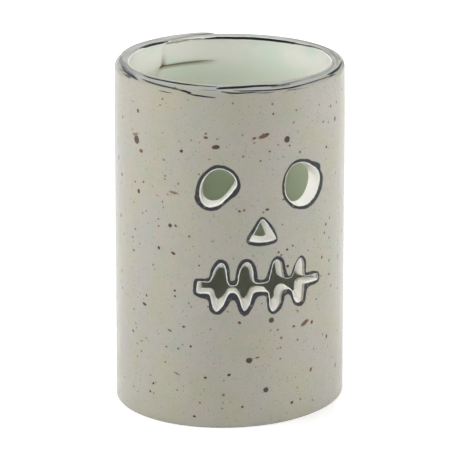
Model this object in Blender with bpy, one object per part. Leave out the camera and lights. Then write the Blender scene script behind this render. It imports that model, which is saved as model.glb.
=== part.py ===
"""Votive cover: a stoneware sleeve rolled from one clay slab, with a skull face cut through its front.

It stands over a votive candle. It is open at both ends and is one fired piece. Units are metres and Z is
up. The foot stands on Z = 0 and the face looks along -Y. Angles are in degrees, turning from the middle of
the face towards +X.
"""

import math

import bmesh
import bpy
from mathutils import Vector

MM = 0.001

# Sleeve
HEIGHT = 127.7 * MM
OUTER_RADIUS = 42.5 * MM
WALL = 5 * MM
RIM_ROUND = 1.5 * MM
RIM_DROP = 0.7 * MM
CREST_ROUND = 0.7 * MM
FOOT_ROUND = 0.8 * MM

# Lap at the back: the slab's outer end lies over its inner end
LAP_EDGE = 171.3
LAP_RISE = 3.6 * MM
LAP_NOSE_SPAN = 9.0
LAP_FADE_SPAN = 57.0
LAP_FADE_POWER = 0.75

# Inside of the lap: the slab's inner end, pressed back below a collar left at the rim
INNER_END = 207.3
PRESSED_DEPTH = 1.0 * MM
PRESSED_FADE_SPAN = 8.0
COLLAR_HEIGHT = 9.7 * MM
COLLAR_SLOPE = 1.2 * MM
HOLLOW_DEPTH = 2.2 * MM
HOLLOW_SPAN = 38.0
GROOVE_DEPTH = 1.3 * MM
GROOVE_HALF_SPAN = 1.6

# Face: outlines on the outer surface, clockwise seen from the front, in millimetres across and up from its middle
FACE_HEIGHT = 74 * MM
EYE_LEFT = [
    (-23.6, 15.0), (-22.9, 19.0), (-20.6, 22.7), (-17.0, 24.8), (-13.3, 24.2), (-10.5, 21.8), (-9.6, 18.6),
    (-11.3, 15.7), (-14.3, 12.4), (-16.9, 10.5), (-20.2, 9.9), (-22.7, 11.7),
]
EYE_RIGHT = [
    (8.0, 16.8), (8.6, 20.8), (11.2, 24.1), (14.8, 24.9), (17.8, 24.2), (20.5, 22.7), (23.2, 20.8),
    (24.8, 18.1), (24.5, 14.0), (22.1, 10.3), (18.2, 8.0), (14.0, 8.1), (10.5, 10.3), (8.5, 13.1),
]
NOSE = [
    (0.7, 4.7), (2.8, 1.7), (4.9, -2.1), (4.4, -3.1), (1.6, -3.6), (-1.7, -3.6), (-5.0, -2.9),
    (-5.2, -1.8), (-3.4, 1.1), (-1.9, 4.0), (-0.6, 5.4),
]
MOUTH = [
    (-24.5, -22.4), (-24.4, -18.5), (-23.2, -17.7), (-20.4, -17.7),
    (-19.5, -16.8), (-18.2, -13.4), (-16.8, -11.2), (-15.3, -10.5), (-14.0, -11.6), (-13.3, -14.4),
    (-12.9, -17.7), (-12.0, -18.9), (-10.3, -18.8), (-9.8, -17.8),
    (-9.3, -14.6), (-8.1, -11.7), (-6.2, -10.3), (-4.5, -11.6), (-3.7, -14.2), (-3.4, -17.1),
    (-2.6, -18.4), (1.4, -18.4),
    (2.2, -16.8), (3.0, -13.4), (3.8, -11.2), (5.4, -10.3), (7.2, -11.7), (7.9, -14.4), (8.3, -17.1),
    (9.2, -17.9), (11.2, -17.9),
    (12.4, -16.1), (13.4, -13.1), (15.2, -11.4), (16.9, -12.4), (17.5, -14.8), (17.6, -17.6),
    (18.6, -18.7), (23.8, -19.1), (24.8, -20.4), (24.3, -22.0), (18.2, -22.1),
    (17.5, -23.1), (17.3, -26.4), (16.4, -28.3), (14.2, -28.6), (12.6, -27.1), (11.6, -24.0),
    (10.2, -22.7), (8.4, -22.8),
    (7.4, -24.2), (7.1, -27.2), (5.6, -29.4), (3.6, -30.3), (2.4, -28.4), (2.0, -24.6),
    (1.2, -22.6), (-3.0, -22.3),
    (-4.1, -23.8), (-5.0, -26.8), (-7.0, -29.2), (-8.3, -27.4), (-9.1, -24.4),
    (-10.5, -22.4), (-12.5, -22.4),
    (-13.6, -24.6), (-15.0, -27.4), (-17.2, -29.3), (-18.8, -27.4), (-19.6, -23.8), (-20.4, -22.7),
]
CUT_OUTS = {"eye_left": EYE_LEFT, "eye_right": EYE_RIGHT, "nose": NOSE, "mouth": MOUTH}

# Cut edges: a softened lip outside, and a wall that narrows towards the bore
LIP_ROUND = 0.6 * MM
CUT_TAPER = 0.3 * MM
CORNER_SHARE = 0.7
CUTTER_CLEARANCE = 4 * MM
LIP_CLEARANCE = 0.05 * MM

# Fineness
AROUND = 96
CORNER_STEPS = 4
OUTLINE_STEP = 0.9 * MM
SPLINE_STEPS = 12
STATION_GAP = 0.8

GLAZE_COLOUR = (0.47, 0.45, 0.40, 1.0)
GLAZE_ROUGHNESS = 0.32

BORE_RADIUS = OUTER_RADIUS - WALL


def clear_scene():
    for obj in list(bpy.data.objects):
        bpy.data.objects.remove(obj, do_unlink=True)


def collection(name, parent):
    made = bpy.data.collections.new(name)
    parent.children.link(made)
    return made


def lap_rise(angle):
    """How far the slab's outer end stands proud of the round outside at this angle."""
    turned = (angle - LAP_EDGE) % 360
    if turned < LAP_NOSE_SPAN:
        return LAP_RISE * math.sqrt(1 - (1 - turned / LAP_NOSE_SPAN) ** 2)
    fade = max(0.0, 1 - (turned - LAP_NOSE_SPAN) / LAP_FADE_SPAN)
    return LAP_RISE * fade**LAP_FADE_POWER


def collar_share(height):
    """1 where the overlap is pressed back, 0 on the collar that is left at the rim."""
    below = HEIGHT - COLLAR_HEIGHT - height
    return min(1.0, max(0.0, below / COLLAR_SLOPE))


def bore_recess(angle, height):
    """How far the inside lies back from the round bore at this angle and height."""
    past_end = (angle - INNER_END + 180) % 360 - 180
    groove = GROOVE_DEPTH * max(0.0, 1 - abs(past_end) / GROOVE_HALF_SPAN)
    if 0 <= past_end < HOLLOW_SPAN:
        return groove + HOLLOW_DEPTH * (1 + math.cos(math.pi * past_end / HOLLOW_SPAN)) / 2
    overlap = past_end + INNER_END - LAP_EDGE
    if past_end < 0 < overlap:
        return groove + PRESSED_DEPTH * collar_share(height) * min(1.0, overlap / PRESSED_FADE_SPAN)
    return groove


def stations():
    """The angles of the wall's sections: even steps, and closer ones on the lap's edge and in the groove."""
    shaped = [LAP_EDGE + LAP_NOSE_SPAN * share for share in (0, 0.08, 0.3, 0.6, 1)]
    shaped += [INNER_END + GROOVE_HALF_SPAN * share for share in (-1, -0.4, 0, 0.4, 1)]
    even = [360 * step / AROUND for step in range(AROUND)]
    kept = [angle for angle in even if all(abs(angle - other) > STATION_GAP for other in shaped)]
    return sorted(kept + shaped)


AXIS_Y = (OUTER_RADIUS - max(-math.cos(math.radians(a)) * (OUTER_RADIUS + lap_rise(a)) for a in stations())) / 2


def place(angle, radius, height):
    turned = math.radians(angle)
    return Vector((radius * math.sin(turned), AXIS_Y - radius * math.cos(turned), height))


def quarter(radius, height, size, start):
    """A quarter circle in a section, from its start angle, as (radius, height) pairs."""
    turns = [math.radians(start + 90 * step / CORNER_STEPS) for step in range(CORNER_STEPS + 1)]
    return [(radius + size * math.cos(turn), height + size * math.sin(turn)) for turn in turns]


def wall_section(angle):
    """The wall's closed section at this angle, counter-clockwise from the foot's outer edge.

    The rim is highest at its inner edge and slopes down to the outer one.
    """
    outside = OUTER_RADIUS + lap_rise(angle)
    collar = HEIGHT - COLLAR_HEIGHT

    def inside(height):
        return BORE_RADIUS + bore_recess(angle, height)

    section = quarter(outside - FOOT_ROUND, FOOT_ROUND, FOOT_ROUND, -90)
    section += quarter(outside - RIM_ROUND, HEIGHT - RIM_DROP - RIM_ROUND, RIM_ROUND, 0)
    section += quarter(inside(HEIGHT) + CREST_ROUND, HEIGHT - CREST_ROUND, CREST_ROUND, 90)
    section += [(inside(height), height) for height in (collar, collar - COLLAR_SLOPE)]
    section += quarter(inside(0) + FOOT_ROUND, FOOT_ROUND, FOOT_ROUND, 180)
    return [place(angle, radius, height) for radius, height in section]


def loft(name, rings, into, looped):
    """A closed body through equal rings, joined end to end when looped and capped flat when not."""
    shape = bmesh.new()
    lines = [[shape.verts.new(point) for point in ring] for ring in rings]
    for ring, following in zip(lines, lines[1:] + lines[:1] if looped else lines[1:]):
        for i, corner in enumerate(ring):
            shape.faces.new((corner, ring[i - 1], following[i - 1], following[i]))
    if not looped:
        shape.faces.new(lines[0])
        shape.faces.new(lines[-1])
    bmesh.ops.recalc_face_normals(shape, faces=shape.faces)
    mesh = bpy.data.meshes.new(name)
    shape.to_mesh(mesh)
    shape.free()
    body = bpy.data.objects.new(name, mesh)
    into.objects.link(body)
    return body


def smooth_outline(corners):
    """A closed smooth curve through the corners, as evenly spaced points in metres."""
    corners = [Vector(corner) * MM for corner in corners]
    count = len(corners)
    curve = []
    for i in range(count):
        before, start, end, after = (corners[(i + shift) % count] for shift in (-1, 0, 1, 2))
        for step in range(SPLINE_STEPS):
            t = step / SPLINE_STEPS
            bend = 2 * before - 5 * start + 4 * end - after
            twist = 3 * start - before - 3 * end + after
            curve.append((2 * start + (end - before) * t + bend * t**2 + twist * t**3) / 2)
    return evenly_spaced(curve)


def evenly_spaced(curve):
    """The closed curve again, as points about OUTLINE_STEP apart."""
    ends = curve[1:] + curve[:1]
    lengths = [(end - start).length for start, end in zip(curve, ends)]
    count = round(sum(lengths) / OUTLINE_STEP)
    spacing = sum(lengths) / count
    points, travelled = [], 0.0
    for start, end, length in zip(curve, ends, lengths):
        while len(points) < count and len(points) * spacing < travelled + length:
            points.append(start.lerp(end, (len(points) * spacing - travelled) / length))
        travelled += length
    return points


def inset(outline, distance):
    """The outline moved inwards, by less where it turns a corner tighter than the distance."""
    moved = []
    for i, point in enumerate(outline):
        arriving = point - outline[i - 1]
        leaving = outline[(i + 1) % len(outline)] - point
        turn = arriving.angle_signed(leaving)
        radius = (arriving.length + leaving.length) / 2 / max(turn, 1e-6)
        along = (arriving + leaving).normalized()
        moved.append(point + Vector((along.y, -along.x)) * min(distance, CORNER_SHARE * radius))
    return moved


def cutter(name, corners, into):
    """A radial cutter: lip and tapered wall through the sleeve, run on to a flat end on each side of it."""
    edge = smooth_outline(corners)
    through = inset(edge, LIP_ROUND + CUT_TAPER)

    def angles(outline):
        return [math.degrees(point.x / OUTER_RADIUS) for point in outline]

    def ring(outline, radius):
        return [place(a, radius, FACE_HEIGHT + point.y) for a, point in zip(angles(outline), outline)]

    def flat_ring(outline, distance):
        return [
            place(a, distance / math.cos(math.radians(a)), FACE_HEIGHT + point.y)
            for a, point in zip(angles(outline), outline)
        ]

    def lip_ring(turn):
        turned = math.radians(turn)
        depth = LIP_ROUND * (1 - math.sin(turned))
        return ring(inset(edge, LIP_ROUND * math.cos(turned)), OUTER_RADIUS - depth)

    widest = max(abs(a) for a in angles(edge))
    inner_flat = (BORE_RADIUS - CUTTER_CLEARANCE) * math.cos(math.radians(widest))
    rings = [
        flat_ring(through, inner_flat),
        ring(through, BORE_RADIUS),
        lip_ring(0),
        lip_ring(30),
        lip_ring(60),
        ring(edge, OUTER_RADIUS + LIP_CLEARANCE),
        flat_ring(edge, OUTER_RADIUS + CUTTER_CLEARANCE),
    ]
    body = loft(f"{name}_cutter", rings, into, looped=False)
    body.hide_render = True
    body.display_type = "WIRE"
    return body


def glaze():
    material = bpy.data.materials.new("speckled_glaze")
    material.use_nodes = True
    shader = material.node_tree.nodes["Principled BSDF"]
    shader.inputs["Base Color"].default_value = GLAZE_COLOUR
    shader.inputs["Roughness"].default_value = GLAZE_ROUGHNESS
    shader.inputs["Metallic"].default_value = 0.0
    return material


def sleeve(into, cutters):
    """The rolled sleeve with its rounded rim, its lap, and the face cut through it."""
    body = loft("sleeve", [wall_section(angle) for angle in stations()], into, looped=True)
    body.data.materials.append(glaze())
    body.data.shade_smooth()
    body.data.set_sharp_from_angle(angle=math.radians(35))
    cut = body.modifiers.new("face", "BOOLEAN")
    cut.operation = "DIFFERENCE"
    cut.solver = "EXACT"
    cut.operand_type = "COLLECTION"
    cut.collection = cutters
    return body


def main():
    clear_scene()
    root = bpy.context.scene.collection
    parts = collection("votive_cover", root)
    cutters = collection("cutters", root)
    for name, corners in CUT_OUTS.items():
        cutter(name, corners, cutters)
    sleeve(parts, cutters)


main()
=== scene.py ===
"""Looks of the votive cover: a stoneware sleeve, rolled from one slab, with a skull face cut through it.

The sleeve is drawn flat, as the slab lies on the table, and a node tree rolls it up. Flat lengths are in
millimetres: across runs round the sleeve from the middle of the face, up from the foot, and out from the
round outside. Along follows the slab's skin: 0 on the middle of the rim, less outside and more inside.
"""

import math
import random
from functools import partial

import bpy
import numpy as np
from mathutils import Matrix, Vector
from mathutils.geometry import delaunay_2d_cdt


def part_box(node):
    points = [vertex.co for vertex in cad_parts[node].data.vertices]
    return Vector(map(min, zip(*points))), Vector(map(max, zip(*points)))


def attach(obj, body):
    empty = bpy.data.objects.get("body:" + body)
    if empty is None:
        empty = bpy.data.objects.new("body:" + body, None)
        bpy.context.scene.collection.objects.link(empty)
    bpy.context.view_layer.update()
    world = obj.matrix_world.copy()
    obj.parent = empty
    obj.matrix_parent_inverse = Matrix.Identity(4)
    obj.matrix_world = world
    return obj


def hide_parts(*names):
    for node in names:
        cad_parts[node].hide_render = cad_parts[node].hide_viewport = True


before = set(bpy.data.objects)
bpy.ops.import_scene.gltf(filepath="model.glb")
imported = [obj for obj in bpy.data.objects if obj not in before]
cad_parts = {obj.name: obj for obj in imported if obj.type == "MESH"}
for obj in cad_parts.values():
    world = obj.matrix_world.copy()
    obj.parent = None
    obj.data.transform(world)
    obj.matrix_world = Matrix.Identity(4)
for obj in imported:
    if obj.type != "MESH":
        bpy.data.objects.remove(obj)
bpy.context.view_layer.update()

MM = 0.001
sleeve_low, sleeve_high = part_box("sleeve")

# Slab, in millimetres and degrees
OUTER_RADIUS = (sleeve_high.x - sleeve_low.x) / 2 / MM
HEIGHT = sleeve_high.z / MM
AXIS_Y = sleeve_low.y / MM + OUTER_RADIUS
WALL = 5.0
ROUND = 2 * math.pi * OUTER_RADIUS

# Rim and foot
RIM_ROUND = 1.5
RIM_DROP = 0.7
FRONT_CREST = 0.45
FRONT_MIDDLE = -16.7
FRONT_BEGINS = 0.2
FRONT_FADE = 0.6
DROP_POWER = 1.5
CREST_ROUND = 0.5
RIM_LIP = 0.6
LIP_REACH = 7.0
TOP_LEAN = 0.45
LEAN_REACH = 26.0
FOOT_ROUND = 0.8
BAND = 7.5
INNER_BAND = 4.0
BAND_STEP = 0.22
TOP_ROWS = 16

# Lap at the back: the slab's outer end lies over its inner end
LAP_EDGE = 171.3
LAP_RISE = 3.6
LAP_NOSE_SPAN = 9.0
LAP_FADE_SPAN = 57.0
LAP_FADE_POWER = 0.75

# Inside of the lap
INNER_END = 204.8
PRESSED_DEPTH = 1.0
PRESSED_FADE_SPAN = 8.0
COLLAR_HEIGHT = 9.3
COLLAR_SLOPE = 0.4
HOLLOW_DEPTH = 2.2
HOLLOW_SPAN = 38.0
HOLLOW_BEGINS = 10.0
HOLLOW_FULL = 24.0
LEDGE_STEPS = (0.1, 0.25, 0.6)
GROOVE_DEPTH = 1.2
GROOVE_BEGINS = 2.5
GROOVE_FULL = 8.0
GROOVE_HALF_SPAN = 4.6
ROLL_BULGE = 0.9
ROLL_MIDDLE = 7.0
ROLL_REACH = 5.5
ROLL_SLANT = 3.0
ROLL_ROUND = 10.0
SEAM_DEPTH = 0.45
SEAM_WIDTH = 0.55
SEAM_POWER = 0.3

# Painted shade inside the lap, with some dark pooled glaze: how dark, how far from the collar's edge, and
# how far it reaches
GROOVE_SHADE = 0.5
GROOVE_SHADE_BACK = 0.8
GROOVE_SHADE_SPAN = 1.5
GROOVE_SHADE_RAISED = 0.6
GROOVE_SHADE_HEIGHT = 2.2
LEDGE_SHADE = 0.85
LEDGE_SHADE_LOWERED = 0.55
LEDGE_SHADE_HEIGHT = 0.75
LEDGE_SHADE_REACH = 36.0
LEDGE_SHADE_FADE = 12.0

# Hand-made unevenness, which the node tree adds while it rolls the slab up
HAND_WAVE = 0.3
WAVE_SIZE = 30.0
WAVE_STRETCH = 0.6
WAVE_SEED = 3.0
MERGE_GAP = 0.002
FOOT_OVAL = 1.4
OVAL_TURN = -62.0

# Cut-outs: outlines on the outer face, clockwise from the front, across and up from the middle of the face.
# Where the knife leant, two more numbers say how far the cut moves across and up on its way in
FACE_HEIGHT = 74.0
EYE_LEFT = [
    (-23.6, 15, -0.9, 0.1), (-22.9, 19, -0.8, 0), (-20.6, 22.7, -0.5, 0), (-17, 24.8), (-13.3, 24.2),
    (-10.5, 21.8), (-9.6, 18.6), (-11.3, 15.7), (-14.3, 12.4), (-16.9, 10.5, -0.1, 0.3),
    (-20.2, 9.9, -0.4, 0.6), (-22.7, 11.7, -0.8, 0.5),
]
EYE_RIGHT = [
    (8, 16.8), (8.6, 20.8), (11.2, 24.1), (14.8, 24.9), (17.8, 24.2), (20.5, 22.7), (23.2, 20.8),
    (24.8, 18.1), (24.5, 14), (22.1, 10.3), (18.2, 8), (14, 8.1), (10.5, 10.3), (8.5, 13.1),
]
NOSE = [
    (0.7, 4.7, -0.3, -0.4), (2.8, 1.7, -1.1, -0.1), (4.9, -2.1, -1.7, 0.3), (4.4, -3.1, -1.4, 0.3),
    (1.6, -3.6, -0.4, 0.1), (-1.7, -3.6, 0.2, 0.5), (-5, -2.9, 0.7, 0.9), (-5.2, -1.8, 0.7, 0.9),
    (-3.4, 1.1, 0.2, 0.3), (-1.9, 4, 0, -0.2), (-0.6, 5.4, 0, -0.5),
]
MOUTH = [
    (-24.5, -22.4), (-24.4, -18.5), (-23.2, -17.7), (-20.4, -17.7), (-19.5, -16.8), (-18.2, -13.4, 0, -0.9),
    (-16.8, -11.2, 0, -2.1), (-15.3, -10.5, 0, -2.5), (-14, -11.6, 0, -2), (-13.3, -14.4, 0, -0.8),
    (-12.9, -17.7), (-12, -18.9), (-10.3, -18.8), (-9.8, -17.8), (-9.3, -14.6, 0, -0.8),
    (-8.1, -11.7, 0, -2), (-6.2, -10.3, 0, -2.4), (-4.5, -11.6, 0, -2), (-3.7, -14.2, 0, -0.9),
    (-3.4, -17.1), (-2.6, -18.4), (1.4, -18.4), (2.2, -16.8), (3, -13.4, 0, -0.6), (3.8, -11.2, 0, -1.2),
    (5.4, -10.3, 0, -1.6), (7.2, -11.7, 0, -1.2), (7.9, -14.4, 0, -0.5), (8.3, -17.1), (9.2, -17.9),
    (11.2, -17.9), (12.4, -16.1, 0, -0.4), (13.4, -13.1, 0, -1.2), (15.2, -11.4, 0, -1.8),
    (16.9, -12.4, 0, -1.5), (17.5, -14.8, 0, -0.6), (17.6, -17.6), (18.6, -18.7), (23.8, -19.1),
    (24.8, -20.4), (24.3, -22), (18.2, -22.1), (17.5, -23.1), (17.3, -26.4, 0, 1), (16.4, -28.3, 0, 2.2),
    (14.2, -28.6, 0, 2.8), (12.6, -27.1, 0, 2.4), (11.6, -24, 0, 0.6), (10.2, -22.7), (8.4, -22.8),
    (7.4, -24.2),
    (7.1, -27.2, 0, 0.8), (5.6, -29.4, 0, 1.7), (3.6, -30.3, 0, 2), (2.4, -28.4, 0, 1.4), (2, -24.6),
    (1.2, -22.6), (-3, -22.3), (-4.1, -23.8, 0, 0.4), (-5, -26.8, 0, 1.6), (-7, -29.2, 0, 2.6),
    (-8.3, -27.4, 0, 1.8), (-9.1, -24.4, 0, 0.5), (-10.5, -22.4), (-12.5, -22.4), (-13.6, -24.6, 0, 0.6),
    (-15, -27.4, 0, 1.9), (-17.2, -29.3, 0, 2.6), (-18.8, -27.4, 0, 1.8), (-19.6, -23.8, 0, 0.4),
    (-20.4, -22.7),
]
CUT_OUTS = [EYE_LEFT, EYE_RIGHT, NOSE, MOUTH]
CUT_TAPER = 0.3
LIP_ROUND = 0.6
INNER_LIP = 0.3
CORNER_SHARE = 0.7

# Clay left bare on the mouth's right-hand walls: below this height, and from and over this far across
BARE_BELOW = 66.0
BARE_FROM = 3.0
BARE_FADE = 6.0

# Outer edge of the ink line round each cut-out, across and up from the foot
INK_EYE_LEFT = [
    (-25, 89), (-24, 93.6), (-21.4, 97.4), (-18, 99.8), (-14.4, 99.8), (-11, 98), (-9, 95),
    (-8.4, 91.8), (-9.8, 88.9), (-12.2, 87), (-14.6, 84.9), (-17.2, 83), (-21, 82.9), (-24, 84.8),
    (-25.3, 87),
]
INK_EYE_RIGHT = [
    (7, 90), (7.7, 94.5), (10.2, 98.2), (13.6, 99.9), (18.6, 99.2), (20.6, 98.1), (23.6, 96.9),
    (25.1, 95.6), (25.2, 93.4), (26.2, 92.4), (26.7, 89.6), (25.7, 86), (23, 82.9), (19.6, 81),
    (16.4, 80.6), (12, 81.8), (9.2, 84.2), (7.6, 86.8),
]
INK_NOSE = [
    (-0.5, 80.4), (-2.4, 78.9), (-4.2, 76.1), (-6, 73.2), (-6.5, 71.2), (-5, 69.7), (-1, 69.1),
    (2.8, 69.4), (5.3, 70.3), (5.3, 72.2), (3.9, 75.6), (1.8, 78.5),
]
INK_MOUTH = [
    (-25.8, 51.4), (-25.8, 54.5), (-24.9, 57), (-20.3, 57.5), (-19.5, 60.1), (-18.6, 62.2), (-16.5, 64.7),
    (-13.8, 64.1), (-12.5, 61.4), (-12.1, 56.8), (-10.7, 57), (-9.9, 61.2), (-8.2, 64.3), (-5.5, 64.8),
    (-3.2, 62.6), (-2.2, 58.7), (-2, 56.8), (0.6, 56.8), (1.9, 59.9), (3.4, 63.7), (5.7, 64.85),
    (8, 63.2), (8.9, 59.9), (9.8, 57), (11, 56.8), (12.3, 59.9), (14.4, 62.8), (15.9, 63.4),
    (18, 61.4), (18.2, 57.6), (18.3, 56.3), (21.9, 56.2), (25, 54.9), (25.7, 52.4), (24, 50.9),
    (19.8, 50.5), (18.6, 48.9), (17.9, 45.3), (15.5, 43.8), (12.5, 45.3), (10.9, 48.7), (9, 49.5),
    (8.2, 47), (6.9, 44.2), (4, 42.7), (1.9, 44.3), (1.2, 48.2), (0.9, 50.1), (-2.2, 49.9),
    (-3.8, 46.6), (-5.7, 43.5), (-7.7, 43), (-9.3, 45.3), (-10.3, 48.5), (-11.7, 49.2), (-13.2, 46.8),
    (-15.5, 44), (-18, 43.8), (-19.9, 45.5), (-20.3, 48.9), (-23.4, 49.8), (-24.7, 50.3),
]
INK_LINES = [INK_EYE_LEFT, INK_EYE_RIGHT, INK_NOSE, INK_MOUTH]

# Iron specks that show on the front, by tone: 0 dark brown, 1 red-brown, 2 ochre and 3 faint grey. Each has
# its place across and up, its length and width, and its lean in degrees unless it is level
SPECKS = {
    0: [
        (9, 108, 2.5, 2.3, 80), (-17.4, 106.5, 2.9, 1.6, 5), (-30.2, 104.1, 1.3, 1.2),
        (-51.1, 104.8, 3.2, 2.9, 118), (-50.4, 115.7, 1.5, 1.2, 90), (-49.9, 85.7, 1.8, 1.5, 90),
        (-34.8, 75.8, 1.6, 1.5), (-39.7, 66.5, 1.4, 1.2, 90), (-33.5, 65.5, 1.9, 1, 160),
        (-46.7, 43.6, 2.2, 1.1, 170), (-45.6, 47.1, 1.2, 0.8, 120), (-32.9, 51.5, 0.9, 0.9),
        (-32.8, 49.3, 0.9, 0.8), (-53.4, 31.5, 1.1, 1), (-26.7, 31, 1, 0.9), (-61.3, 110.9, 1.2, 1, 90),
        (-66.1, 94.5, 2, 1.2, 90), (-62.3, 88.9, 1.5, 1.1, 60), (34.9, 110.6, 1.8, 1.2, 80),
        (-42.1, 14.1, 1.1, 0.9, 30), (-43.5, 10.7, 0.9, 0.9), (3.2, 40.6, 2.1, 2), (-5.3, 25.9, 2.4, 2.2),
        (1.2, 13.9, 2.1, 2), (-12.7, 20.7, 1.4, 1.1, 30), (-21.3, 19.4, 1.3, 0.9),
        (12.4, 7.1, 1.4, 1.1, 35), (-7.8, 8.1, 1.1, 0.9, 20), (-25.3, 4.2, 1.3, 0.8, 165),
        (21.6, 36.4, 1.5, 1.2, 70), (31, 28.4, 1.6, 1.1, 80), (44.6, 65.2, 1.7, 1.1, 85),
        (26.8, 60.1, 1.2, 0.9, 60), (-62.7, 51.9, 1.1, 0.9, 90), (-52.1, 88.8, 0.9, 0.8),
        (-47.2, 89.8, 0.9, 0.8), (0.9, 110.6, 1.5, 1.2, 20),
    ],
    1: [
        (0, 110.2, 4.4, 1.5, 18), (-3.6, 109.6, 1.5, 0.9, 15), (-21, 109.9, 1.7, 1), (-21, 111.3, 1, 0.7),
        (-16.9, 109.5, 0.8, 0.6), (-48.5, 101.2, 2.1, 1.4, 5), (-32.5, 76, 1.2, 1, 130),
        (-39.8, 74.7, 0.8, 0.8), (-52, 70.9, 1, 0.8), (-8.9, 82.7, 1.2, 0.9, 150), (1.3, 82.7, 1.5, 1),
        (7.7, 85.8, 0.9, 0.8), (-1.3, 101.1, 0.9, 0.7), (2.2, 104.3, 0.9, 0.8), (5.4, 106.4, 0.8, 0.6),
        (10.1, 105.6, 0.8, 0.7), (3.5, 118, 0.9, 0.9), (28.6, 101.5, 1.2, 1, 60), (-23.5, 62, 0.9, 0.8),
        (-35, 36, 1.8, 0.7, 165), (-29.4, 38.2, 1.3, 0.9), (-36.3, 29.5, 0.8, 0.7), (-36.8, 23.5, 0.8, 0.7),
        (-31.9, 19.8, 2.7, 0.5, 158), (-2.2, 26.8, 1.7, 0.6, 10), (21.6, 17.9, 1.7, 1.2, 70),
        (-8.9, 40.6, 1.4, 1.1, 150), (12.7, 36.7, 1.2, 1), (17.9, 37, 4.2, 1.6, 26), (23.9, 44.7, 0.8, 0.6),
        (9.7, 60.3, 1.5, 1), (5.9, 66.1, 1, 0.8), (9.4, 66.6, 1.2, 1), (19, 64.6, 0.7, 0.6),
        (-23.3, 9.6, 0.9, 0.7), (29, 72.2, 1.3, 1, 80), (28.1, 69.1, 1, 0.8, 80), (11.8, 67.7, 0.8, 0.7),
        (-39.9, 77.4, 0.9, 0.6, 160), (-38, 84.2, 0.8, 0.7),
    ],
    2: [
        (-52, 106.7, 4.6, 0.8, 16), (-33.3, 88.3, 4.2, 0.9, 172), (-39.1, 119.9, 0.9, 0.7),
        (-53.7, 67.4, 1.3, 0.7), (-53.1, 62.6, 1.6, 0.9), (-48.2, 29.1, 1, 0.8), (-48.2, 25.1, 0.9, 0.7),
        (-31.8, 13.5, 0.8, 0.6), (-45.5, 30.7, 0.9, 0.6), (-35.7, 87.2, 0.7, 0.6), (-45.7, 79.2, 0.8, 0.6),
        (-23.2, 107.9, 0.5, 0.5), (-41.7, 57.9, 0.5, 0.5),
    ],
    3: [
        (-3.6, 107.9, 0.9, 0.6), (-26.4, 108.5, 0.7, 0.6), (-31, 107.6, 0.7, 0.5), (11.8, 113.9, 0.9, 0.8),
        (12.9, 118.2, 0.8, 0.8), (24.2, 118.2, 0.7, 0.6, 90), (29.8, 110.6, 1, 0.6, 90),
        (7.6, 101.7, 0.6, 0.5), (-19.7, 101.9, 0.7, 0.6), (-36.9, 94, 0.9, 0.8), (-36.9, 92.8, 0.9, 0.6),
        (-63.1, 85.6, 0.8, 0.8), (-42.7, 89.2, 0.6, 0.5), (-40.3, 86.1, 0.8, 0.6), (-37.7, 82.1, 0.7, 0.5),
        (-47.7, 77.9, 0.9, 0.7), (-63.6, 73.1, 1.9, 1, 60), (-60.7, 66.8, 0.9, 0.8),
        (-49.3, 66, 0.8, 0.7, 90), (-25.8, 68.9, 0.5, 0.5), (-18.7, 71.4, 0.8, 0.5),
        (-62.3, 45.5, 1, 0.8, 90), (-52.8, 40, 0.9, 0.8, 90), (-49.2, 47.1, 0.5, 0.5),
        (-51.7, 34.8, 0.8, 0.6), (-51.2, 33.3, 0.8, 0.6), (-39.8, 33.7, 0.6, 0.5),
        (-29.8, 31.2, 0.8, 0.6, 30), (-52.7, 10, 1, 0.7, 90), (-43.4, 17, 0.8, 0.7),
        (-41.2, 14.7, 0.7, 0.6), (-14.6, 18.5, 0.8, 0.6), (39.2, 14.6, 2.1, 1.2, 80),
        (16.5, 7.5, 1, 0.9, 60), (-15.1, 7.7, 0.9, 0.6), (5.9, 29.3, 0.6, 0.5), (22.9, 25.8, 0.8, 0.6, 60),
        (28.3, 29.9, 0.9, 0.8), (40.6, 27.8, 1, 0.7, 80), (-13.2, 44.9, 0.8, 0.6), (5.8, 36.5, 1, 0.9),
        (13.8, 42.8, 0.6, 0.5), (33.6, 47.4, 1.2, 1, 60), (39.7, 44.6, 1.3, 0.8, 85),
        (39.8, 57, 2.2, 0.8, 80), (39.6, 63.2, 0.8, 0.6), (32.4, 62.3, 0.7, 0.5), (-3.9, 65.7, 0.9, 0.5),
        (-11.1, 65, 0.7, 0.5), (7.3, 76.4, 0.8, 0.6), (31.4, 74, 1.3, 0.7, 60), (-20.3, 46.6, 0.8, 0.6),
        (-27.4, 123.2, 0.8, 0.6, 20), (-10.4, 123.9, 0.7, 0.7), (19.9, 122.3, 0.8, 0.5, 90),
        (-2.8, 23.2, 0.6, 0.5),
    ],
}
FRONT_SPAN = (-68.0, 48.0)
BACK_SPECKS = 190
BACK_TONES = (30, 30, 10, 30)
LAP_CLEARANCE = (-4.0, 11.5)
SPECK_SEED = 11

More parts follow.
